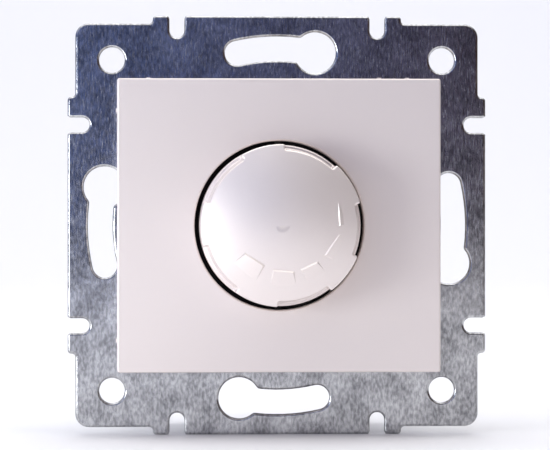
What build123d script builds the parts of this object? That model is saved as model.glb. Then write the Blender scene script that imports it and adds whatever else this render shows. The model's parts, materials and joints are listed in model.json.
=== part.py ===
from build123d import *
import os
from math import sqrt

# Rotary dimmer insert for a 60 mm wall box, in its installed pose.
# X is right, Z is up and +Y goes into the wall. The wall plane (Y = 0) is the
# back face of the support frame, and a depth f is measured forward from it.

# ---- support frame ----
SHEET = 1.0
FRAME_SIZE = 71.0
CORNER_SIZE = 68.4
CORNER_RADIUS = 2.3
TAB_HALF_X = 21.1
TAB_HALF_Z = 21.75
STEP_RADIUS = 0.6
EDGE_ROUNDING = 0.4
NOTCH_OFFSET = 17.0
NOTCH_WIDTH = 2.5
NOTCH_DEPTH = 3.7
CORNER_PITCH = 56.0
CORNER_HOLE_RADIUS = 2.15
BOX_SCREW_RADIUS = 30.0
KEY_SLOT_WIDTH = 4.15
KEY_SLOT_ANGLE = 13.1
KEY_HOLE_ANGLE = 12.45
KEY_HOLE_RADIUS = 3.5

# ---- cover plate ----
COVER_WIDTH = 54.0
COVER_HEIGHT = 49.0
COVER_FRONT = 9.2
COVER_WALL = 1.6
COLLAR_RADIUS = 14.12
COLLAR_WALL = 1.2
COLLAR_DEPTH = 3.0

# ---- front carrier ----
CARRIER_TOP = SHEET + 1.6
CARRIER_GAP = 0.1
RING_RADIUS = 14.4
RING_WALL = 1.0

# ---- potentiometer ----
BUSHING_RADIUS = 4.9
BUSHING_FRONT = 6.4
SHAFT_RADIUS = 3.0
SHAFT_FRONT = 18.0
SHAFT_FLAT = 2.2
SHAFT_GAP = 0.05
FLANGE = 1.2
CAN_RADIUS = 8.6
CAN_WALL = 0.5
POT_BACK = -6.4
POT_BASE = 1.2

# ---- push switch ----
SWITCH_SIZE = 12.0
SWITCH_WALL = 1.0
SWITCH_BACK = -15.4
PUSH_TRAVEL = 1.5
PLUNGER_FRONT = -7.2
PLUNGER_FLANGE = -9.5

# ---- knob ----
KNOB_RADIUS = 13.26
KNOB_DRAFT = 0.14
KNOB_SKIRT = 5.0
KNOB_TOP = 22.0
DOME_DROP = 1.9
KNOB_WALL = 1.5
RIM_ROUNDING = 0.9
LEDGE = 12.6
RECESS_RADIUS = 12.3
RECESS_DRAFT = 0.35
# Start and end angle of each finger recess, counted from +X towards +Z.
RECESSES = ((48, 88), (120, 163), (195, 235), (267, 307), (338, 376))
# Start and end angle of each scale block, with the radius of its inner edge at both ends.
SCALE_BLOCKS = (
    (215.5, 246, 7.5, 7.05),
    (257, 284.5, 7.25, 7.65),
    (292, 315, 7.65, 8.1),
    (324.5, 352, 8.3, 9.2),
    (359, 383, 9.2, 9.65),
)
SCALE_OUTER = 10.1
SCALE_HEIGHT = 0.48
SCALE_CHAMFER = 0.28
BOSS_RADIUS = 5.0
BOSS_BACK = 8.3

# ---- rear housing ----
HOUSING_HALF_X = 22.0
HOUSING_HALF_Z = 23.5
HOUSING_CORNER_X = 15.2
HOUSING_CORNER_Z = 17.3
HOUSING_BACK = -28.0
HOUSING_WALL = 1.6
CHANNEL_HALF_Z = 6.5
CHANNEL_X = 18.6
HOUSING_SCREW = (16.0, 16.4)
HOUSING_BOSS = 3.3
VENT_PITCH = 4.0
VENT_WIDTH = 1.2

# ---- triac on the frame ----
TRIAC_X = -2.8
TRIAC_Z = -16.4
TRIAC_WIDTH = 10.0
TRIAC_LENGTH = 16.2
TRIAC_BODY = 9.2
TRIAC_THICKNESS = 4.5
RIVET_X = TRIAC_X + 13.2
RIVET_RADIUS = 1.55
PAD = 0.5
TAB = 1.3

# ---- circuit board ----
BOARD = 1.6
BOARD_FRONT = SWITCH_BACK
BOARD_BACK = BOARD_FRONT - BOARD

# ---- terminals ----
TERMINAL_PITCH = 10.6
TERMINAL_DEPTH = -22.0
CAGE_WIDTH = 6.4
CAGE_DEPTH = 5.6
CAGE_WALL = 1.0
CAGE_BOTTOM = 10.1
CAGE_TOP = 16.9
BAR_BOTTOM = 14.5
BAR_TOP = 15.5
SCREW_CORE = 1.45
TERMINAL_HEAD_BOTTOM = 19.4
TERMINAL_HEAD_TOP = 21.2
WIRE_RADIUS = 1.6

# ---- claws ----
CLAW_X = 22.4
CLAW_SCREW_BACK = -22.0
CLAW_PIVOT = -14.0
CLAW_NUT = 2.4
CLAW_SHEET = 1.0
CLAW_OUTER = 27.2
CLAW_HALF_Z = 4.1
CLAW_BACK = -24.5
TRUNNION_RADIUS = 1.2

AXIAL = Plane(origin=(0, 0, 0), x_dir=(1, 0, 0), z_dir=(0, 0, -1))


def front(f):
    """Sketch plane at depth f, seen from the front, with X right and Z up."""
    return Plane.XZ.offset(f)


def slab(x0, x1, z0, z1, f0, f1, mode=Mode.ADD):
    """Rectangular block between two depths."""
    with BuildSketch(front(f0)) as outline:
        with Locations(((x0 + x1) / 2, (z0 + z1) / 2)):
            Rectangle(x1 - x0, z1 - z0)
    extrude(outline.sketch, amount=f1 - f0, mode=mode)


def rod(x, z, radius, f0, f1, mode=Mode.ADD):
    """Round bar along the depth."""
    with BuildSketch(front(f0)) as outline:
        with Locations((x, z)):
            Circle(radius)
    extrude(outline.sketch, amount=f1 - f0, mode=mode)


def upright(x, f, radius, z0, z1, mode=Mode.ADD):
    """Round bar along Z."""
    with BuildSketch(Plane.XY.offset(z0)) as outline:
        with Locations((x, -f)):
            Circle(radius)
    extrude(outline.sketch, amount=z1 - z0, mode=mode)


def level(x, f, z, radius, half_length, mode=Mode.ADD):
    """Round bar along X, centred on x."""
    with BuildSketch(Plane.YZ.offset(x - half_length)) as outline:
        with Locations((-f, z)):
            Circle(radius)
    extrude(outline.sketch, amount=2 * half_length, mode=mode)


def save(builder, label):
    builder.part.label = label
    export_step(builder.part, f"parts/{label}.step")


def dome_height(radius):
    """Depth of the knob's domed top at a distance from its axis."""
    sphere = (KNOB_RADIUS**2 + DOME_DROP**2) / (2 * DOME_DROP)
    return KNOB_TOP - sphere + sqrt(sphere**2 - radius**2)


def on_circle(radius, angle):
    return Vector(radius, 0).rotate(Axis.Z, angle)


def keyhole_sketch(turn):
    """One keyhole: an arc slot about the centre with a round end."""
    with BuildSketch() as keyhole:
        with BuildLine() as path:
            CenterArc((0, 0), BOX_SCREW_RADIUS, turn - KEY_HOLE_ANGLE, KEY_HOLE_ANGLE + KEY_SLOT_ANGLE)
        SlotArc(path.edges()[0], KEY_SLOT_WIDTH)
        with Locations(on_circle(BOX_SCREW_RADIUS, turn - KEY_HOLE_ANGLE)):
            Circle(KEY_HOLE_RADIUS)
        mouth = keyhole.vertices().filter_by(lambda v: on_key_circle(v, turn))
        fillet(mouth, 0.8)
    return keyhole.sketch


def on_key_circle(vertex, turn):
    """Tells the two corners where a keyhole's slot meets its round end."""
    centre = on_circle(BOX_SCREW_RADIUS, turn - KEY_HOLE_ANGLE)
    reach = (vertex.center() - centre).length
    away = (vertex.center() - on_circle(BOX_SCREW_RADIUS, turn)).length
    return abs(reach - KEY_HOLE_RADIUS) < 0.01 and away < BOX_SCREW_RADIUS * 0.2


def support_frame():
    with BuildPart() as frame:
        with BuildSketch(front(0)) as outline:
            RectangleRounded(CORNER_SIZE, CORNER_SIZE, CORNER_RADIUS)
            Rectangle(2 * TAB_HALF_X, FRAME_SIZE)
            Rectangle(FRAME_SIZE, 2 * TAB_HALF_Z)
            steps = outline.vertices().filter_by(lambda v: is_step(v))
            fillet(steps, STEP_RADIUS)
            for side in range(4):
                for offset in (-NOTCH_OFFSET, NOTCH_OFFSET):
                    add(notch_sketch(offset).rotate(Axis.Z, 90 * side), mode=Mode.SUBTRACT)
                add(keyhole_sketch(90 * side), mode=Mode.SUBTRACT)
            with GridLocations(CORNER_PITCH, CORNER_PITCH, 2, 2):
                Circle(CORNER_HOLE_RADIUS, mode=Mode.SUBTRACT)
            Circle(BUSHING_RADIUS + 0.15, mode=Mode.SUBTRACT)
            with Locations((CLAW_X, 0), (-CLAW_X, 0)):
                Circle(1.7, mode=Mode.SUBTRACT)
            with Locations(HOUSING_SCREW, (-HOUSING_SCREW[0], -HOUSING_SCREW[1])):
                Circle(1.4, mode=Mode.SUBTRACT)
            with Locations((RIVET_X, TRIAC_Z)):
                Circle(RIVET_RADIUS + 0.05, mode=Mode.SUBTRACT)
        extrude(amount=SHEET)
        rim = frame.faces().sort_by(Axis.Y)[0].edges()
        fillet(rim, EDGE_ROUNDING)
    save(frame, "support_frame")


def is_step(vertex):
    """Picks the corners where the tabs step out from the corner sections."""
    across = max(abs(vertex.X), abs(vertex.Y))
    along = min(abs(vertex.X), abs(vertex.Y))
    return across > CORNER_SIZE / 2 - 0.1 and along < TAB_HALF_Z + 0.1


def notch_sketch(offset):
    """Edge notch with a round bottom and a slightly opened mouth, on the +Y edge."""
    half = NOTCH_WIDTH / 2
    edge = FRAME_SIZE / 2
    with BuildSketch() as notch:
        with Locations((offset, edge - NOTCH_DEPTH + half)):
            Circle(half)
        with BuildLine():
            Polyline(
                (offset - half, edge - NOTCH_DEPTH + half),
                (offset - half, edge - 0.5),
                (offset - half - 0.3, edge + 0.1),
                (offset + half + 0.3, edge + 0.1),
                (offset + half, edge - 0.5),
                (offset + half, edge - NOTCH_DEPTH + half),
                close=True,
            )
        make_face()
    return notch.sketch


def cover_plate():
    half_x = COVER_WIDTH / 2
    half_z = COVER_HEIGHT / 2
    collar = COLLAR_RADIUS + COLLAR_WALL
    with BuildPart() as cover:
        with BuildSketch(front(SHEET)):
            RectangleRounded(COVER_WIDTH, COVER_HEIGHT, 0.4)
        extrude(amount=COVER_FRONT - SHEET)
        fillet(cover.faces().sort_by(Axis.Y)[0].edges(), 0.3)
        slab(-half_x + COVER_WALL, half_x - COVER_WALL, -half_z + COVER_WALL, half_z - COVER_WALL,
             SHEET, COVER_FRONT - COVER_WALL, Mode.SUBTRACT)
        rod(0, 0, collar, COVER_FRONT - COLLAR_DEPTH, COVER_FRONT - 0.5)
        rod(0, 0, COLLAR_RADIUS, 0, COVER_FRONT + 1, Mode.SUBTRACT)
        mouth = cover.edges().filter_by(GeomType.CIRCLE).filter_by(
            lambda e: abs(e.radius - COLLAR_RADIUS) < 0.01 and abs(e.center().Y + COVER_FRONT) < 0.01
        )
        fillet(mouth, 0.35)
        for z in (-19.2, 19.2):
            slab(-half_x - 0.2, -half_x + 0.5, z - 0.3, z + 0.3, SHEET, COVER_FRONT - 1.0)
        for x in (-21.8, 16.8, 21.5):
            slab(x - 0.3, x + 0.3, half_z - 0.5, half_z + 0.2, SHEET, COVER_FRONT - 1.0)
    save(cover, "cover_plate")


def front_carrier():
    """Dark plate under the cover, clamped by the nut, with a ring round the knob."""
    half_x = COVER_WIDTH / 2 - COVER_WALL - CARRIER_GAP
    half_z = COVER_HEIGHT / 2 - COVER_WALL - CARRIER_GAP
    ring_top = COVER_FRONT - COLLAR_DEPTH - 0.1
    with BuildPart() as carrier:
        slab(-half_x, half_x, -half_z, half_z, SHEET, CARRIER_TOP)
        rod(0, 0, RING_RADIUS + RING_WALL, SHEET, ring_top)
        rod(0, 0, RING_RADIUS, CARRIER_TOP, ring_top + 1, Mode.SUBTRACT)
        rod(0, 0, BUSHING_RADIUS + 0.2, 0, CARRIER_TOP + 1, Mode.SUBTRACT)
        for side in (-1, 1):
            x0, x1 = sorted((side * (CLAW_X - 3.2), side * (half_x + 1)))
            slab(x0, x1, -3.4, 3.4, 0, CARRIER_TOP + 1, Mode.SUBTRACT)
            x, z = side * HOUSING_SCREW[0], side * HOUSING_SCREW[1]
            rod(x, z, 2.8, 0, CARRIER_TOP + 1, Mode.SUBTRACT)
        rod(RIVET_X, TRIAC_Z, 3.0, 0, CARRIER_TOP + 1, Mode.SUBTRACT)
        for turn in range(0, 360, 90):
            guide_rib(turn, ring_top)
    save(carrier, "front_carrier")


def guide_rib(turn, top):
    """Small rib inside the ring, which centres the knob's skirt."""
    with BuildSketch(front(CARRIER_TOP)) as rib:
        with PolarLocations(RING_RADIUS, 1, start_angle=turn):
            Rectangle(1.2, 1.0)
    extrude(rib.sketch, amount=top - 0.4 - CARRIER_TOP)


def scale_block(start, end, inner_start, inner_end):
    """One block of the dial's scale: straight inside, and running out into the dome outside."""
    low = min(inner_start, inner_end) - 0.8
    with BuildPart() as block:
        with BuildSketch(AXIAL) as profile:
            with BuildLine():
                Polyline(
                    (low, dome_height(low) - 0.8),
                    (low, dome_height(low) + SCALE_HEIGHT),
                    (SCALE_OUTER, dome_height(SCALE_OUTER) - 0.03),
                    (SCALE_OUTER, dome_height(SCALE_OUTER) - 0.8),
                    close=True,
                )
            make_face()
        revolve(profile.sketch.rotate(Axis.Y, -start), axis=Axis.Y, revolution_arc=-(end - start))
        first = on_circle(inner_start, start)
        last = on_circle(inner_end, end)
        along = (last - first).normalized() * 3
        with BuildSketch(front(KNOB_TOP - 3)) as inside:
            with BuildLine():
                Polyline(first - along, last + along, last * 0.2, first * 0.2, close=True)
            make_face()
        extrude(inside.sketch, amount=6, mode=Mode.SUBTRACT)
        top = block.faces().sort_by(Axis.Y)[0]
        rim = top.edges().filter_by(lambda e: axis_distance(e) < SCALE_OUTER - 0.1)
        chamfer(rim, SCALE_CHAMFER)
    return block.part


def axis_distance(edge):
    middle = edge.position_at(0.5)
    return sqrt(middle.X**2 + middle.Z**2)


def recess_profile():
    """Section of a finger recess: a drafted inner wall above a narrow ledge."""
    with BuildSketch(AXIAL) as profile:
        with BuildLine():
            Polyline(
                (RECESS_RADIUS, KNOB_TOP + 1),
                (RECESS_RADIUS, dome_height(RECESS_RADIUS)),
                (RECESS_RADIUS + RECESS_DRAFT, LEDGE),
                (KNOB_RADIUS + 1, LEDGE),
                (KNOB_RADIUS + 1, KNOB_TOP + 1),
                close=True,
            )
        make_face()
    return profile.sketch


def dial_knob():
    blocks = [scale_block(*row) for row in SCALE_BLOCKS]
    recess = recess_profile()
    with BuildPart() as knob:
        with BuildSketch(AXIAL) as section:
            with BuildLine():
                rim = (KNOB_RADIUS, dome_height(KNOB_RADIUS))
                ThreePointArc((0, KNOB_TOP), (KNOB_RADIUS / 2, dome_height(KNOB_RADIUS / 2)), rim)
                Polyline(rim, (KNOB_RADIUS + KNOB_DRAFT, KNOB_SKIRT), (0, KNOB_SKIRT), (0, KNOB_TOP))
            make_face()
            corner = section.vertices().sort_by(Axis.X)[-2:].sort_by(Axis.Y)[0]
            fillet(corner, RIM_ROUNDING)
        revolve(axis=Axis.Y)
        for start, end in RECESSES:
            cutter = recess.rotate(Axis.Y, -start)
            revolve(cutter, axis=Axis.Y, revolution_arc=-(end - start), mode=Mode.SUBTRACT)
        soft = knob.edges().filter_by(lambda e: is_recess_edge(e))
        fillet(soft, 0.3)
        add(blocks)
        rod(0, 0, KNOB_RADIUS - KNOB_WALL, KNOB_SKIRT - 1, LEDGE - 1.2, Mode.SUBTRACT)
        rod(0, 0, RECESS_RADIUS - KNOB_WALL, LEDGE - 1.3, KNOB_TOP - 2.6, Mode.SUBTRACT)
        rod(0, 0, BOSS_RADIUS, BOSS_BACK, KNOB_TOP - 2.0)
        shaft_bore(BOSS_BACK - 1, SHAFT_FRONT + 0.3)
    save(knob, "dial_knob")


def is_recess_edge(edge):
    """Edges round the finger recesses that the moulding rounds over."""
    depth = -edge.position_at(0.5).Y
    return axis_distance(edge) > RECESS_RADIUS - 0.1 and depth > LEDGE - 0.05 and edge.length > 0.5


def shaft_bore(f0, f1):
    """D-shaped bore with a running gap round the shaft."""
    radius = SHAFT_RADIUS + SHAFT_GAP
    with BuildSketch(front(f0)) as bore:
        Circle(radius)
        with Locations((SHAFT_FLAT + SHAFT_GAP + radius, 0)):
            Rectangle(2 * radius, 3 * radius, mode=Mode.SUBTRACT)
    extrude(bore.sketch, amount=f1 - f0, mode=Mode.SUBTRACT)


def dial_drive():
    """Shaft, its clip in the knob, and the nut and washer that clamp the cover."""
    with BuildPart() as shaft:
        rod(0, 0, SHAFT_RADIUS, PLUNGER_FRONT + 0.1, SHAFT_FRONT)
        chamfer(shaft.faces().sort_by(Axis.Y)[0].edges(), 0.4)
        slab(SHAFT_FLAT, SHAFT_RADIUS + 1, -4, 4, BOSS_BACK - PUSH_TRAVEL, SHAFT_FRONT + 1, Mode.SUBTRACT)
        slab(SHAFT_FLAT, SHAFT_RADIUS + 1, -4, 4, PLUNGER_FRONT - 1, PUSH_TRAVEL - FLANGE, Mode.SUBTRACT)
    save(shaft, "pot_shaft")

    with BuildPart() as clip:
        with BuildSketch(front(BOSS_BACK + 0.6)):
            Circle(BOSS_RADIUS + 0.65)
            Circle(BOSS_RADIUS + 0.05, mode=Mode.SUBTRACT)
            with Locations((-BOSS_RADIUS, 0)):
                Rectangle(3, 3, mode=Mode.SUBTRACT)
        extrude(amount=3.2)
    save(clip, "knob_clip")

    with BuildPart() as washer:
        with BuildSketch(front(CARRIER_TOP)):
            Circle(8.4)
            Circle(BUSHING_RADIUS + 0.15, mode=Mode.SUBTRACT)
            with PolarLocations(8.4, 12):
                Circle(0.45, mode=Mode.SUBTRACT)
        extrude(amount=0.5)
    save(washer, "lock_washer")

    with BuildPart() as nut:
        with BuildSketch(front(CARRIER_TOP + 0.5)):
            RegularPolygon(7.0, 6, major_radius=False)
            Circle(BUSHING_RADIUS + 0.05, mode=Mode.SUBTRACT)
        extrude(amount=2.2)
        chamfer(nut.faces().sort_by(Axis.Y)[0].outer_wire().edges(), 0.4)
    save(nut, "fixing_nut")


def potentiometer():
    with BuildPart() as bushing:
        rod(0, 0, CAN_RADIUS - CAN_WALL - 0.05, -FLANGE, 0)
        rod(0, 0, BUSHING_RADIUS, 0, BUSHING_FRONT)
        chamfer(bushing.faces().sort_by(Axis.Y)[0].edges(), 0.3)
        for turn in range(6):
            groove = CARRIER_TOP + 0.35 + 0.6 * turn
            thread_groove(groove)
        rod(0, 0, SHAFT_RADIUS + SHAFT_GAP, -FLANGE - 1, BUSHING_FRONT + 1, Mode.SUBTRACT)
    save(bushing, "pot_bushing")

    with BuildPart() as can:
        with BuildSketch(front(POT_BACK + POT_BASE)):
            Circle(CAN_RADIUS)
            Circle(CAN_RADIUS - CAN_WALL, mode=Mode.SUBTRACT)
        extrude(amount=-POT_BACK - POT_BASE)
    save(can, "pot_can")

    with BuildPart() as base:
        rod(0, 0, CAN_RADIUS, POT_BACK, POT_BACK + POT_BASE)
        slab(-6.5, 6.5, -11, 0, POT_BACK, POT_BACK + POT_BASE)
        rod(0, 0, SHAFT_RADIUS + 0.4, POT_BACK - 1, 0, Mode.SUBTRACT)
    save(base, "pot_base")

    track_front = POT_BACK + POT_BASE + 0.2
    with BuildPart() as track:
        with BuildSketch(front(POT_BACK + POT_BASE)):
            Circle(7.4)
            Circle(5.6, mode=Mode.SUBTRACT)
            with Locations((0, -6.5)):
                Rectangle(3, 5, mode=Mode.SUBTRACT)
        extrude(amount=0.2)
    save(track, "resistive_track")

    with BuildPart() as rotor:
        rod(0, 0, 7.6, track_front + 0.9, -FLANGE - 0.3)
        shaft_bore(track_front, 0)
    save(rotor, "wiper_rotor")

    with BuildPart() as wiper:
        slab(-0.6, 0.6, 4.0, 7.2, track_front + 0.6, track_front + 0.9)
        slab(-0.6, 0.6, 6.2, 6.8, track_front + 0.1, track_front + 0.6)
    save(wiper, "wiper_contact")

    with BuildPart() as lugs:
        for x in (-5, 0, 5):
            slab(x - 0.6, x + 0.6, -11.5, -11.0, BOARD_FRONT, POT_BACK + POT_BASE)
    save(lugs, "pot_terminals")


def thread_groove(f):
    """One groove of the bushing's fine thread."""
    with BuildSketch(AXIAL) as groove:
        with BuildLine():
            Polyline(
                (BUSHING_RADIUS + 0.1, f - 0.2),
                (BUSHING_RADIUS - 0.25, f),
                (BUSHING_RADIUS + 0.1, f + 0.2),
                close=True,
            )
        make_face()
    revolve(groove.sketch, axis=Axis.Y, mode=Mode.SUBTRACT)


def push_switch():
    half = SWITCH_SIZE / 2
    inner = half - SWITCH_WALL
    with BuildPart() as housing:
        slab(-half, half, -half, half, SWITCH_BACK, POT_BACK)
        slab(-inner, inner, -inner, inner, SWITCH_BACK + SWITCH_WALL, POT_BACK - SWITCH_WALL, Mode.SUBTRACT)
        rod(0, 0, SHAFT_RADIUS + 0.3, POT_BACK - 2, POT_BACK + 1, Mode.SUBTRACT)
    save(housing, "switch_housing")

    with BuildPart() as plunger:
        rod(0, 0, 2.6, PLUNGER_FLANGE, PLUNGER_FRONT)
        rod(0, 0, 4.6, PLUNGER_FLANGE - 0.8, PLUNGER_FLANGE)
        rod(0, 0, 1.3, PLUNGER_FLANGE - 2.2, PLUNGER_FLANGE)
    save(plunger, "switch_plunger")

    bridge_back = PLUNGER_FLANGE - 1.2
    with BuildPart() as bridge:
        with BuildSketch(front(bridge_back)):
            Circle(4.6)
            Circle(2.8, mode=Mode.SUBTRACT)
        extrude(amount=0.4)
    save(bridge, "switch_bridge")

    with BuildPart() as contacts:
        for side in (-1, 1):
            x0, x1 = sorted((side * 3.5, side * 4.5))
            slab(x0, x1, -1.2, 1.2, SWITCH_BACK + SWITCH_WALL, bridge_back - PUSH_TRAVEL - 0.1)
    save(contacts, "switch_contacts")

    spring_back = SWITCH_BACK + SWITCH_WALL
    spring_front = PLUNGER_FLANGE - 0.8
    wire = 0.22
    height = spring_front - spring_back - 2 * wire - 0.1
    start = (0, -spring_back - wire - 0.05, 0)
    coil = Helix(pitch=height / 4, height=height, radius=2.1, center=start, direction=(0, -1, 0))
    with BuildPart() as spring:
        with BuildSketch(Plane(coil @ 0, z_dir=coil % 0)) as section:
            Circle(wire)
        sweep(section.sketch, path=coil, is_frenet=True)
    save(spring, "switch_spring")


def octagon(inset, f0, f1, mode=Mode.ADD):
    """The housing's outline, drawn in by an inset, with a channel for each claw."""
    with BuildSketch(front(f0)) as outline:
        with BuildLine():
            Polyline(
                (HOUSING_HALF_X, HOUSING_CORNER_Z),
                (HOUSING_CORNER_X, HOUSING_HALF_Z),
                (-HOUSING_CORNER_X, HOUSING_HALF_Z),
                (-HOUSING_HALF_X, HOUSING_CORNER_Z),
                (-HOUSING_HALF_X, -HOUSING_CORNER_Z),
                (-HOUSING_CORNER_X, -HOUSING_HALF_Z),
                (HOUSING_CORNER_X, -HOUSING_HALF_Z),
                (HOUSING_HALF_X, -HOUSING_CORNER_Z),
                close=True,
            )
        make_face()
        depth = HOUSING_HALF_X - CHANNEL_X
        with Locations((HOUSING_HALF_X - depth / 2 + 1, 0), (-HOUSING_HALF_X + depth / 2 - 1, 0)):
            Rectangle(depth + 2, 2 * CHANNEL_HALF_Z, mode=Mode.SUBTRACT)
        fillet(outline.vertices(), 0.9)
        if inset:
            offset(amount=-inset, kind=Kind.INTERSECTION)
    extrude(outline.sketch, amount=f1 - f0, mode=mode)


def rear_housing():
    inner_back = HOUSING_BACK + HOUSING_WALL
    inner_top = HOUSING_HALF_Z - HOUSING_WALL
    wire_z = (CAGE_BOTTOM + CAGE_WALL + BAR_BOTTOM) / 2
    with BuildPart() as housing:
        octagon(0, HOUSING_BACK, 0)
        chamfer(housing.faces().sort_by(Axis.Y)[-1].edges(), 0.5)
        octagon(HOUSING_WALL, inner_back, 1, Mode.SUBTRACT)
        for side in (-1, 1):
            x, z = side * HOUSING_SCREW[0], side * HOUSING_SCREW[1]
            rod(x, z, HOUSING_BOSS, BOARD_FRONT + 0.2, 0)
            rod(x, z, 1.15, BOARD_FRONT + 3, 1, Mode.SUBTRACT)
        for side in (-1.5, -0.5, 0.5, 1.5):
            x = side * TERMINAL_PITCH
            slab(x - 0.5, x + 0.5, CAGE_BOTTOM - 0.6, inner_top + 0.1, inner_back - 0.1, BOARD_BACK - 0.4)
        width = 1.5 * TERMINAL_PITCH
        slab(-width, width, CAGE_BOTTOM - 1.4, CAGE_BOTTOM - 0.4, inner_back - 0.1, BOARD_BACK - 0.4)
        for number in range(-1, 2):
            x = number * TERMINAL_PITCH
            rod(x, wire_z, WIRE_RADIUS, HOUSING_BACK - 1, inner_back + 0.5, Mode.SUBTRACT)
            upright(x, TERMINAL_DEPTH, 2.3, inner_top - 0.5, HOUSING_HALF_Z + 1, Mode.SUBTRACT)
        for number in range(-3, 4):
            x = number * VENT_PITCH
            half = VENT_WIDTH / 2
            slab(x - half, x + half, -17, -9, HOUSING_BACK - 1, inner_back + 1, Mode.SUBTRACT)
        slab(-14, 14, -5, 5, HOUSING_BACK - 1, HOUSING_BACK + 0.3, Mode.SUBTRACT)
    save(housing, "rear_housing")

    with BuildPart() as screws:
        for side in (-1, 1):
            x, z = side * HOUSING_SCREW[0], side * HOUSING_SCREW[1]
            rod(x, z, 2.4, SHEET, SHEET + 1.5)
            rod(x, z, 1.1, -9, SHEET)
            slab(x - 1.6, x + 1.6, z - 0.35, z + 0.35, SHEET + 0.8, SHEET + 2, Mode.SUBTRACT)
            slab(x - 0.35, x + 0.35, z - 1.6, z + 1.6, SHEET + 0.8, SHEET + 2, Mode.SUBTRACT)
    save(screws, "housing_screws")


def triac_group():
    """Power semiconductor on the frame, which spreads its heat."""
    x0, x1 = TRIAC_X, TRIAC_X + TRIAC_LENGTH
    z0, z1 = TRIAC_Z - TRIAC_WIDTH / 2, TRIAC_Z + TRIAC_WIDTH / 2
    with BuildPart() as pad:
        slab(x0 - 1.2, x1 + 0.8, z0 - 0.4, z1 + 0.4, -PAD, 0)
        rod(RIVET_X, TRIAC_Z, RIVET_RADIUS + 0.1, -2, 1, Mode.SUBTRACT)
    save(pad, "heat_sink_pad")

    lead_front = -PAD - 2.4
    with BuildPart() as triac:
        slab(x0, x1, z0, z1, -PAD - TAB, -PAD)
        slab(x0, x0 + TRIAC_BODY, z0, z1, -PAD - TRIAC_THICKNESS, -PAD)
        rod(RIVET_X, TRIAC_Z, RIVET_RADIUS + 0.05, -6, 1, Mode.SUBTRACT)
        for lead in (-2.54, 0, 2.54):
            z = TRIAC_Z + lead
            slab(x0 - 2.8, x0 + 0.2, z - 0.4, z + 0.4, lead_front - 0.6, lead_front)
            slab(x0 - 2.8, x0 - 2.2, z - 0.4, z + 0.4, BOARD_FRONT, lead_front)
    save(triac, "triac")

    with BuildPart() as rivet:
        rod(RIVET_X, TRIAC_Z, RIVET_RADIUS, -PAD - TAB, SHEET)
        rod(RIVET_X, TRIAC_Z, 2.6, SHEET, SHEET + 0.8)
        fillet(rivet.faces().sort_by(Axis.Y)[0].edges(), 0.5)
        rod(RIVET_X, TRIAC_Z, 2.2, -PAD - TAB - 0.7, -PAD - TAB)
    save(rivet, "triac_rivet")


def circuit_board():
    with BuildPart() as board:
        octagon(HOUSING_WALL + 0.4, BOARD_BACK, BOARD_FRONT)
    save(board, "circuit_board")

    back = BOARD_BACK
    choke = (-9.4, -13.2)
    with BuildPart() as core:
        with BuildSketch(front(back - 7.2)):
            with Locations(choke):
                Circle(6.0)
                Circle(3.2, mode=Mode.SUBTRACT)
        extrude(amount=6.4)
    save(core, "choke_core")

    with BuildPart() as winding:
        with BuildSketch(Plane.XY) as section:
            Rectangle(1.1, 1.1)
        for turn in range(20):
            winding_turn(choke, 18 * turn + 9, back)
    save(winding, "choke_winding")

    with BuildPart() as film:
        slab(2, 15.5, -20.6, -14.4, back - 8.6, back)
        fillet(film.edges().filter_by(Axis.Y), 0.6)
    save(film, "film_capacitor")

    with BuildPart() as small:
        slab(3, 11, -11.6, -7.6, back - 5.5, back)
        fillet(small.edges().filter_by(Axis.Y), 0.5)
    save(small, "small_capacitor")

    with BuildPart() as resistors:
        for z in (-3.6, 0.2):
            level(-8, back - 1.4, z, 1.2, 3.2)
            for end in (-12.4, -3.6):
                lead_wire(end, z, -8, back - 1.4)
    save(resistors, "resistors")

    with BuildPart() as diac:
        level(8, back - 1.2, -3.6, 0.95, 2.0)
        for end in (4.6, 11.4):
            lead_wire(end, -3.6, 8, back - 1.2)
    save(diac, "diac")


def lead_wire(end, z, middle, f):
    """Bent lead from an axial component down to the board."""
    inner = middle + (1.9 if end > middle else -1.9)
    x0, x1 = sorted((inner, end))
    slab(x0, x1, z - 0.3, z + 0.3, f - 0.3, f + 0.3)
    slab(end - 0.3, end + 0.3, z - 0.3, z + 0.3, f, BOARD_BACK)


def winding_turn(centre, angle, back):
    """One turn of wire round the choke's core, drawn as a closed square loop."""
    radial = on_circle(1, angle)
    middle = Vector(centre[0] + 4.6 * radial.X, 0, centre[1] + 4.6 * radial.Y)
    across = Plane(
        origin=(middle.X, -(back - 4.0), middle.Z),
        x_dir=(radial.X, 0, radial.Y),
        z_dir=(-radial.Y, 0, radial.X),
    )
    with BuildSketch(across.offset(-0.25)) as loop:
        Rectangle(3.8, 7.4)
        Rectangle(2.9, 6.5, mode=Mode.SUBTRACT)
    extrude(loop.sketch, amount=0.5)


def fuse():
    f = BOARD_BACK - 3.4
    z = 5.2
    with BuildPart() as glass:
        level(0, f, z, 2.4, 5.2)
        level(0, f, z, 2.0, 4.6, Mode.SUBTRACT)
    save(glass, "fuse_glass")

    with BuildPart() as caps:
        for side in (-1, 1):
            level(side * 7.7, f, z, 2.5, 2.5)
    save(caps, "fuse_caps")

    with BuildPart() as clips:
        for side in (-1, 1):
            x = side * 7.7
            slab(x - 2, x + 2, z - 3.2, z + 3.2, BOARD_BACK - 0.5, BOARD_BACK)
            slab(x - 2, x + 2, z - 3.2, z - 2.7, f - 1, BOARD_BACK)
            slab(x - 2, x + 2, z + 2.7, z + 3.2, f - 1, BOARD_BACK)
    save(clips, "fuse_clips")


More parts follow.
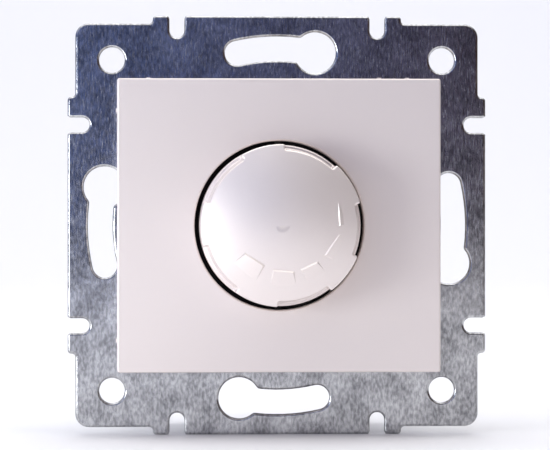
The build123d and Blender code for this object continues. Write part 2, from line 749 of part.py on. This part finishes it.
def terminals():
    half = CAGE_WIDTH / 2
    f0 = TERMINAL_DEPTH - CAGE_DEPTH / 2
    f1 = TERMINAL_DEPTH + CAGE_DEPTH / 2
    with BuildPart() as bars:
        for number in range(-1, 2):
            x = number * TERMINAL_PITCH
            slab(x - 1.7, x + 1.7, BAR_BOTTOM, BAR_TOP, f0, BOARD_BACK)
    save(bars, "terminal_contacts")

    for number in range(3):
        x = (number - 1) * TERMINAL_PITCH
        with BuildPart() as cage:
            slab(x - half, x + half, CAGE_BOTTOM, CAGE_TOP, f0, f1)
            slab(x - half + CAGE_WALL, x + half - CAGE_WALL, CAGE_BOTTOM + CAGE_WALL,
                 CAGE_TOP - CAGE_WALL, f0 - 1, f1 + 1, Mode.SUBTRACT)
            upright(x, TERMINAL_DEPTH, SCREW_CORE + 0.06, CAGE_TOP - 2, CAGE_TOP + 1, Mode.SUBTRACT)
        save(cage, f"terminal_cage_{number + 1}")

        with BuildPart() as screw:
            upright(x, TERMINAL_DEPTH, SCREW_CORE, BAR_TOP + 0.2, TERMINAL_HEAD_BOTTOM)
            upright(x, TERMINAL_DEPTH, 2.1, TERMINAL_HEAD_BOTTOM, TERMINAL_HEAD_TOP)
            chamfer(screw.faces().sort_by(Axis.Z)[-1].edges(), 0.25)
            slab(x - 2.5, x + 2.5, TERMINAL_HEAD_TOP - 0.9, TERMINAL_HEAD_TOP + 1,
                 TERMINAL_DEPTH - 0.4, TERMINAL_DEPTH + 0.4, Mode.SUBTRACT)
        save(screw, f"terminal_screw_{number + 1}")


def claw(side, name):
    """Spreading claw of one side with its screw and trunnion nut."""
    x = side * CLAW_X
    with BuildPart() as screw:
        rod(x, 0, 2.5, SHEET, SHEET + 1.8)
        chamfer(screw.faces().sort_by(Axis.Y)[0].edges(), 0.3)
        rod(x, 0, 1.45, CLAW_SCREW_BACK, SHEET)
        slab(x - 3, x + 3, -0.4, 0.4, SHEET + 0.9, SHEET + 3, Mode.SUBTRACT)
    save(screw, f"claw_screw_{name}")

    with BuildPart() as nut:
        slab(x - CLAW_NUT, x + CLAW_NUT, -3.0, 3.0, CLAW_PIVOT - CLAW_NUT, CLAW_PIVOT + CLAW_NUT)
        upright(x, CLAW_PIVOT, TRUNNION_RADIUS, -CLAW_HALF_Z - 0.3, CLAW_HALF_Z + 0.3)
        rod(x, 0, 1.5, CLAW_PIVOT - 4, CLAW_PIVOT + 4, Mode.SUBTRACT)
    save(nut, f"claw_nut_{name}")

    outer = CLAW_OUTER
    inner = CLAW_X - 2.2
    web = CLAW_OUTER - CLAW_SHEET
    cheek = CLAW_HALF_Z - CLAW_SHEET
    head = CLAW_PIVOT + 3.0
    with BuildPart() as claw_body:
        mirrored_slab(side, inner, outer, -CLAW_HALF_Z, CLAW_HALF_Z, CLAW_BACK + 5, head)
        mirrored_slab(side, inner - 1, web, -cheek, cheek, CLAW_BACK, head + 1, Mode.SUBTRACT)
        mirrored_slab(side, web, outer, -CLAW_HALF_Z, CLAW_HALF_Z, CLAW_BACK, CLAW_BACK + 5)
        for z in (-2.05, 2.05):
            with BuildSketch(Plane.YZ.offset(side * web)) as gap:
                with Locations((-CLAW_BACK, z)):
                    Rectangle(2.4, 1.2, rotation=0)
            extrude(gap.sketch, amount=side * 2, both=True, mode=Mode.SUBTRACT)
        upright(x, CLAW_PIVOT, TRUNNION_RADIUS + 0.06, -CLAW_HALF_Z - 1, CLAW_HALF_Z + 1, Mode.SUBTRACT)
    save(claw_body, f"claw_{name}")


def mirrored_slab(side, x0, x1, z0, z1, f0, f1, mode=Mode.ADD):
    """Block given by its distances from the middle, on the left or right side."""
    low, high = sorted((side * x0, side * x1))
    slab(low, high, z0, z1, f0, f1, mode)


os.makedirs("parts", exist_ok=True)
support_frame()
cover_plate()
front_carrier()
dial_knob()
dial_drive()
potentiometer()
push_switch()
rear_housing()
triac_group()
circuit_board()
fuse()
terminals()
claw(-1, "left")
claw(1, "right")
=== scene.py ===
import json
import math

import bpy
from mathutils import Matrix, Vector


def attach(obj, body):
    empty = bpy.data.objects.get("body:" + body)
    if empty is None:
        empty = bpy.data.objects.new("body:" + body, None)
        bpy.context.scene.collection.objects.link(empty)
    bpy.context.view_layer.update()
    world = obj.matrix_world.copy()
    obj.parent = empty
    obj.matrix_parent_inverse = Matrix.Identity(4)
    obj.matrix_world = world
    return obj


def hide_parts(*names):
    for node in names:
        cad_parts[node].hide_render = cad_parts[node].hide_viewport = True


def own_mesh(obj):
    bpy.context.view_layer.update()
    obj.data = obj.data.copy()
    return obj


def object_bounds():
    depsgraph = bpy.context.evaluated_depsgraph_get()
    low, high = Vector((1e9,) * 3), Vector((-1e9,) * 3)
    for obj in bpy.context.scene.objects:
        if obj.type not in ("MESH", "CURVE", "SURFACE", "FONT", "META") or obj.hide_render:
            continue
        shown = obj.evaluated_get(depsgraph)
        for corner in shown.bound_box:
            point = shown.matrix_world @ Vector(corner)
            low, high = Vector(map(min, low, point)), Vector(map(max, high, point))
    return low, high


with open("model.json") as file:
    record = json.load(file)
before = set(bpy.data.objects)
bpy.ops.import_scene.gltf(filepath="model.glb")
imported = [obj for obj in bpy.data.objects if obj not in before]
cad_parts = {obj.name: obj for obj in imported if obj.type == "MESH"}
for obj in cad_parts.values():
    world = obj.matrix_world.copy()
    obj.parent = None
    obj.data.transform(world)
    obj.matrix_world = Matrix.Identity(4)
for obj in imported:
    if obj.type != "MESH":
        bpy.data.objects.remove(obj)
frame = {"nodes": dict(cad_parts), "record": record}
cad_low, cad_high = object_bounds()

MM = 0.001
nodes = frame["nodes"]
scene = bpy.context.scene


# ---------------------------------------------------------------- camera

CAMERA_DISTANCE = 450 * MM
CAMERA_LEFT = 19.2 * MM
CAMERA_RISE = 1.4 * MM
CAMERA_AIM = Vector((-0.33 * MM, 0.0, 0.05 * MM))
SHEET_FRONT = 1.0 * MM
VIEW_WIDTH = 93.268 * MM
SENSOR = 36.0
NEAR_CLIP = 10 * MM


def turn_towards(place, aim):
    return (aim - place).to_track_quat("-Z", "Y").to_euler()


def make_camera():
    """Camera a little left of the object's middle; its picture is VIEW_WIDTH wide at the sheet's front."""
    data = bpy.data.cameras.new("camera")
    data.sensor_width = SENSOR
    data.lens = SENSOR * (CAMERA_DISTANCE - SHEET_FRONT) / VIEW_WIDTH
    data.clip_start = NEAR_CLIP
    camera = bpy.data.objects.new("camera", data)
    scene.collection.objects.link(camera)
    camera.location = (-CAMERA_LEFT, -CAMERA_DISTANCE, CAMERA_RISE)
    camera.rotation_euler = turn_towards(camera.location, CAMERA_AIM)
    scene.camera = camera


make_camera()


# ---------------------------------------------------------------- shader helpers

NOISE_LOW, NOISE_HIGH = 0.35, 0.65


class Shader:
    """A material with one principled shader and short calls for its nodes."""

    def __init__(self, name, color, roughness, metallic=0.0, **sockets):
        self.material = bpy.data.materials.new(name)
        self.material.use_nodes = True
        self.tree = self.material.node_tree
        self.bsdf = self.tree.nodes["Principled BSDF"]
        self.set("Base Color", (*color, 1.0))
        self.set("Roughness", roughness)
        self.set("Metallic", metallic)
        for socket, value in sockets.items():
            self.set(socket.replace("_", " "), value)
        self.place = self.tree.nodes.new("ShaderNodeTexCoord").outputs["Object"]

    def set(self, socket, value):
        self.bsdf.inputs[socket].default_value = value

    def link(self, output, socket):
        self.tree.links.new(output, self.bsdf.inputs[socket])

    def mapped(self, scale=(1, 1, 1), turn=(0, 0, 0)):
        mapping = self.tree.nodes.new("ShaderNodeMapping")
        mapping.inputs["Scale"].default_value = scale
        mapping.inputs["Rotation"].default_value = turn
        self.tree.links.new(self.place, mapping.inputs["Vector"])
        return mapping.outputs["Vector"]

    def noise(self, size_mm, detail, scale=(1, 1, 1), turn=(0, 0, 0)):
        node = self.tree.nodes.new("ShaderNodeTexNoise")
        node.inputs["Scale"].default_value = 1 / (size_mm * MM)
        node.inputs["Detail"].default_value = detail
        self.tree.links.new(self.mapped(scale, turn), node.inputs["Vector"])
        return node.outputs["Fac"]

    def math(self, operation, a, b):
        node = self.tree.nodes.new("ShaderNodeMath")
        node.operation = operation
        for index, value in enumerate((a, b)):
            if isinstance(value, (int, float)):
                node.inputs[index].default_value = value
            else:
                self.tree.links.new(value, node.inputs[index])
        return node.outputs[0]

    def range(self, value, low, high):
        """Stretch a noise's middle band to the span from low to high."""
        node = self.tree.nodes.new("ShaderNodeMapRange")
        node.inputs["From Min"].default_value = NOISE_LOW
        node.inputs["From Max"].default_value = NOISE_HIGH
        node.inputs["To Min"].default_value = low
        node.inputs["To Max"].default_value = high
        self.tree.links.new(value, node.inputs["Value"])
        return node.outputs["Result"]

    def mix(self, factor, a, b):
        node = self.tree.nodes.new("ShaderNodeMix")
        node.data_type = "RGBA"
        node.inputs["A"].default_value = (*a, 1.0)
        node.inputs["B"].default_value = (*b, 1.0)
        self.tree.links.new(factor, node.inputs["Factor"])
        return node.outputs["Result"]

    def bump(self, height, distance_mm):
        node = self.tree.nodes.new("ShaderNodeBump")
        node.inputs["Distance"].default_value = distance_mm * MM
        node.inputs["Strength"].default_value = 1.0
        self.tree.links.new(height, node.inputs["Height"])
        self.link(node.outputs["Normal"], "Normal")


# ---------------------------------------------------------------- materials

def zinc_steel():
    """Zinc-plated sheet: fine streaks in two directions, over small mottle and broad cloudy patches."""
    s = Shader("zinc_steel", (0.66, 0.68, 0.72), 0.3, 1.0)
    stretch = (1, 1, 0.12)
    streak_a = s.noise(0.2, 3, stretch, (0, 0.6, 0))
    streak_b = s.noise(0.2, 3, stretch, (0, -0.25, 0))
    grain = s.math("MULTIPLY", s.math("ADD", streak_a, streak_b), 0.5)
    cloud = s.noise(5.0, 5)
    mottle = s.noise(0.45, 4, (1, 1, 0.5), (0, 0.7, 0))
    tone = s.math("ADD", s.range(cloud, 0, 0.45), s.range(mottle, 0, 0.55))
    s.link(s.range(grain, 0.12, 0.3), "Roughness")
    s.link(s.mix(tone, (0.21, 0.21, 0.22), (0.66, 0.66, 0.665)), "Base Color")
    s.bump(grain, 0.012)
    return s.material


def pearl(name, roughness, coat, metallic):
    """Pearl plastic: very fine flakes under a thin clear coat."""
    s = Shader(name, (0.85, 0.75, 0.71), roughness, metallic, Coat_Weight=coat, Coat_Roughness=0.25)
    flake = s.noise(0.05, 2)
    s.link(s.mix(s.range(flake, 0, 1), (0.825, 0.742, 0.708), (0.85, 0.767, 0.733)), "Base Color")
    s.link(s.range(s.noise(0.5, 2), roughness - 0.02, roughness + 0.02), "Roughness")
    s.bump(flake, 0.001)
    return s.material


def moulded(name, color, roughness, grain_mm=0.25, depth_mm=0.01):
    """Moulded plastic with a fine spark-eroded grain."""
    s = Shader(name, color, roughness)
    grain = s.noise(grain_mm, 3)
    cloud = s.noise(8.0, 3)
    dark = tuple(0.95 * c for c in color)
    light = tuple(min(1.0, 1.03 * c) for c in color)
    s.link(s.mix(s.range(cloud, 0, 1), dark, light), "Base Color")
    s.link(s.range(grain, roughness - 0.06, roughness + 0.08), "Roughness")
    s.bump(grain, depth_mm)
    return s.material


def metal(name, color, roughness, grain_mm=0.15, stretch=(1, 1, 1)):
    """Plain or plated metal with drawn or turned streaks."""
    s = Shader(name, color, roughness, 1.0)
    grain = s.noise(grain_mm, 4, stretch)
    cloud = s.noise(2.0, 3)
    dark = tuple(0.82 * c for c in color)
    s.link(s.mix(s.range(cloud, 0, 1), dark, color), "Base Color")
    s.link(s.range(grain, roughness - 0.08, roughness + 0.1), "Roughness")
    s.bump(grain, 0.004)
    return s.material


def glass(name, color):
    s = Shader(name, color, 0.05, Transmission_Weight=1.0, IOR=1.5)
    s.bump(s.noise(0.8, 2), 0.004)
    return s.material


MATERIALS = {
    "zinc_steel": zinc_steel(),
    "pearl_plastic": pearl("pearl_plastic", 0.45, 0.3, 0.45),
    "pearl_plastic_knob": pearl("pearl_plastic_knob", 0.42, 0.8, 0.55),
    "zinc_shaft": metal("zinc_shaft", (0.7, 0.7, 0.71), 0.28, 0.1, (1, 6, 1)),
    "spring_steel": metal("spring_steel", (0.45, 0.45, 0.46), 0.35),
    "zinc_small": metal("zinc_small", (0.72, 0.73, 0.75), 0.32),
    "zinc_screw": metal("zinc_screw", (0.78, 0.75, 0.62), 0.3),
    "claw_steel": metal("claw_steel", (0.66, 0.67, 0.7), 0.35),
    "brass_nickel": metal("brass_nickel", (0.75, 0.73, 0.68), 0.25),
    "brass": metal("brass", (0.82, 0.62, 0.3), 0.3),
    "tin_plated": metal("tin_plated", (0.78, 0.78, 0.79), 0.35),
    "aluminium": metal("aluminium", (0.82, 0.82, 0.83), 0.38),
    "copper_wire": metal("copper_wire", (0.75, 0.33, 0.16), 0.25),
    "phenolic": moulded("phenolic", (0.36, 0.17, 0.07), 0.5),
    "carbon": moulded("carbon", (0.03, 0.03, 0.03), 0.6),
    "black_plastic": moulded("black_plastic", (0.03, 0.03, 0.033), 0.42),
    "carrier_plastic": moulded("carrier_plastic", (0.02, 0.012, 0.012), 0.6),
    "white_plastic": moulded("white_plastic", (0.85, 0.84, 0.8), 0.4),
    "housing_plastic": moulded("housing_plastic", (0.56, 0.56, 0.55), 0.5, 0.3, 0.012),
    "pad_rubber": moulded("pad_rubber", (0.5, 0.52, 0.56), 0.75),
    "board": moulded("board", (0.06, 0.22, 0.09), 0.4),
    "ferrite": moulded("ferrite", (0.08, 0.08, 0.085), 0.55),
    "capacitor_plastic": moulded("capacitor_plastic", (0.8, 0.6, 0.1), 0.4),
    "capacitor_small": moulded("capacitor_small", (0.5, 0.06, 0.04), 0.35),
    "resistor_body": moulded("resistor_body", (0.3, 0.5, 0.6), 0.35),
    "glass_diode": glass("glass_diode", (0.3, 0.4, 0.7)),
    "fuse_glass": glass("fuse_glass", (0.95, 0.97, 0.97)),
}

for part in frame["record"]["subparts"]:
    mesh_object = nodes[part["node"]]
    mesh_object.data.materials.clear()
    mesh_object.data.materials.append(MATERIALS[part["material_slot"]])


# ---------------------------------------------------------------- return spring


def return_spring():
    """Spring of the push switch: a copy of its mesh, attached to the root body, stands in for the CAD
    node.
    """
    spring = bpy.data.objects.new("switch_spring_coil", nodes["switch_spring"].data.copy())
    scene.collection.objects.link(spring)
    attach(spring, "root")
    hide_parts("switch_spring")
    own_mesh(spring)


return_spring()


# ---------------------------------------------------------------- studio

# name, place, aim, size (all in metres), power in watts, colour
LIGHTS = [
    ("key", (-0.2, -0.2, -0.005), (0, 0, -0.005), (0.13, 0.07), 0.34, (0.95, 0.99, 1.0)),
    ("low_fill", (-0.02, -0.17, -0.02), (0, 0, -0.02), (0.2, 0.02), 0.007, (1, 1, 1)),
    ("key_high", (-0.35, -0.25, 0.25), (0, 0, 0), (0.2, 0.2), 0.14, (1.0, 0.93, 0.87)),
    ("front", (-0.1, -0.9, 0.5), (0, 0, 0), (0.12, 0.12), 0.1, (1.0, 0.92, 0.86)),
    ("table_light", (0.0, -0.1, 1.0), (0, -0.05, -0.03), (1.6, 1.0), 6.0, (1, 1, 1)),
    ("backdrop_light", (0.0, 0.5, 1.2), (0, 1.4, 0.1), (1.2, 0.6), 8.0, (1, 1, 1)),
]

ROOM_LEFT = (0.125, 0.195, 0.47)
ROOM_RIGHT = (0.075, 0.04, 0.035)
ROOM_TOP = (0.8, 0.8, 0.8)
SIDE_BLEND = (-0.1, 0.16)
TOP_BLEND = (0.3, 0.9)

FLOOR_HALF_WIDTH = 2.0
FLOOR_FRONT = -0.38
FLOOR_BEND_START = 0.9
FLOOR_BEND_RADIUS = 0.5
FLOOR_BEND_STEPS = 16
BACKDROP_HEIGHT = 2.0


def area_light(name, place, aim, size, power, color):
    data = bpy.data.lights.new(name, "AREA")
    data.shape = "RECTANGLE"
    data.size, data.size_y = size
    data.energy = power
    data.color = color
    light = bpy.data.objects.new(name, data)
    scene.collection.objects.link(light)
    light.location = place
    light.rotation_euler = turn_towards(Vector(place), Vector(aim))
    light.visible_camera = False


def studio_floor():
    """Pale sweep: a table that the frame's lower edge stands on, curving up far behind it."""
    level, bend, radius = cad_low[2], FLOOR_BEND_START, FLOOR_BEND_RADIUS
    profile = [(FLOOR_FRONT, level), (bend, level)]
    for step in range(1, FLOOR_BEND_STEPS + 1):
        angle = math.pi / 2 * step / FLOOR_BEND_STEPS
        profile.append((bend + radius * math.sin(angle), level + radius * (1 - math.cos(angle))))
    profile.append((bend + radius, level + BACKDROP_HEIGHT))
    points = [(x, y, z) for x in (-FLOOR_HALF_WIDTH, FLOOR_HALF_WIDTH) for y, z in profile]
    count = len(profile)
    faces = [(i, i + 1, count + i + 1, count + i) for i in range(count - 1)]
    mesh = bpy.data.meshes.new("floor")
    mesh.from_pydata(points, [], faces)
    mesh.shade_smooth()
    floor = bpy.data.objects.new("floor", mesh)
    scene.collection.objects.link(floor)
    s = Shader("floor", (0.9, 0.895, 0.91), 0.6)
    s.bump(s.noise(3.0, 3), 0.01)
    mesh.materials.append(s.material)


def studio_world():
    """Dim room: blue-grey on the left, brown on the right, and lighter overhead."""
    world = bpy.data.worlds.new("studio")
    scene.world = world
    world.use_nodes = True
    tree = world.node_tree
    tree.nodes.clear()
    out = tree.nodes.new("ShaderNodeOutputWorld")
    back = tree.nodes.new("ShaderNodeBackground")
    place = tree.nodes.new("ShaderNodeTexCoord").outputs["Generated"]
    split = tree.nodes.new("ShaderNodeSeparateXYZ")
    tree.links.new(place, split.inputs["Vector"])

    def blend(value, ends, a, b):
        span = tree.nodes.new("ShaderNodeMapRange")
        span.interpolation_type = "SMOOTHSTEP"
        span.inputs["From Min"].default_value = ends[0]
        span.inputs["From Max"].default_value = ends[1]
        tree.links.new(value, span.inputs["Value"])
        mix = tree.nodes.new("ShaderNodeMix")
        mix.data_type = "RGBA"
        tree.links.new(span.outputs["Result"], mix.inputs["Factor"])
        for socket, color in (("A", a), ("B", b)):
            if isinstance(color, tuple):
                mix.inputs[socket].default_value = (*color, 1)
            else:
                tree.links.new(color, mix.inputs[socket])
        return mix.outputs["Result"]

    side = blend(split.outputs["X"], SIDE_BLEND, ROOM_LEFT, ROOM_RIGHT)
    full = blend(split.outputs["Z"], TOP_BLEND, side, ROOM_TOP)
    tree.links.new(full, back.inputs["Color"])
    tree.links.new(back.outputs[0], out.inputs["Surface"])


scene.view_settings.view_transform = "Standard"
studio_floor()
studio_world()
for light in LIGHTS:
    area_light(*light)
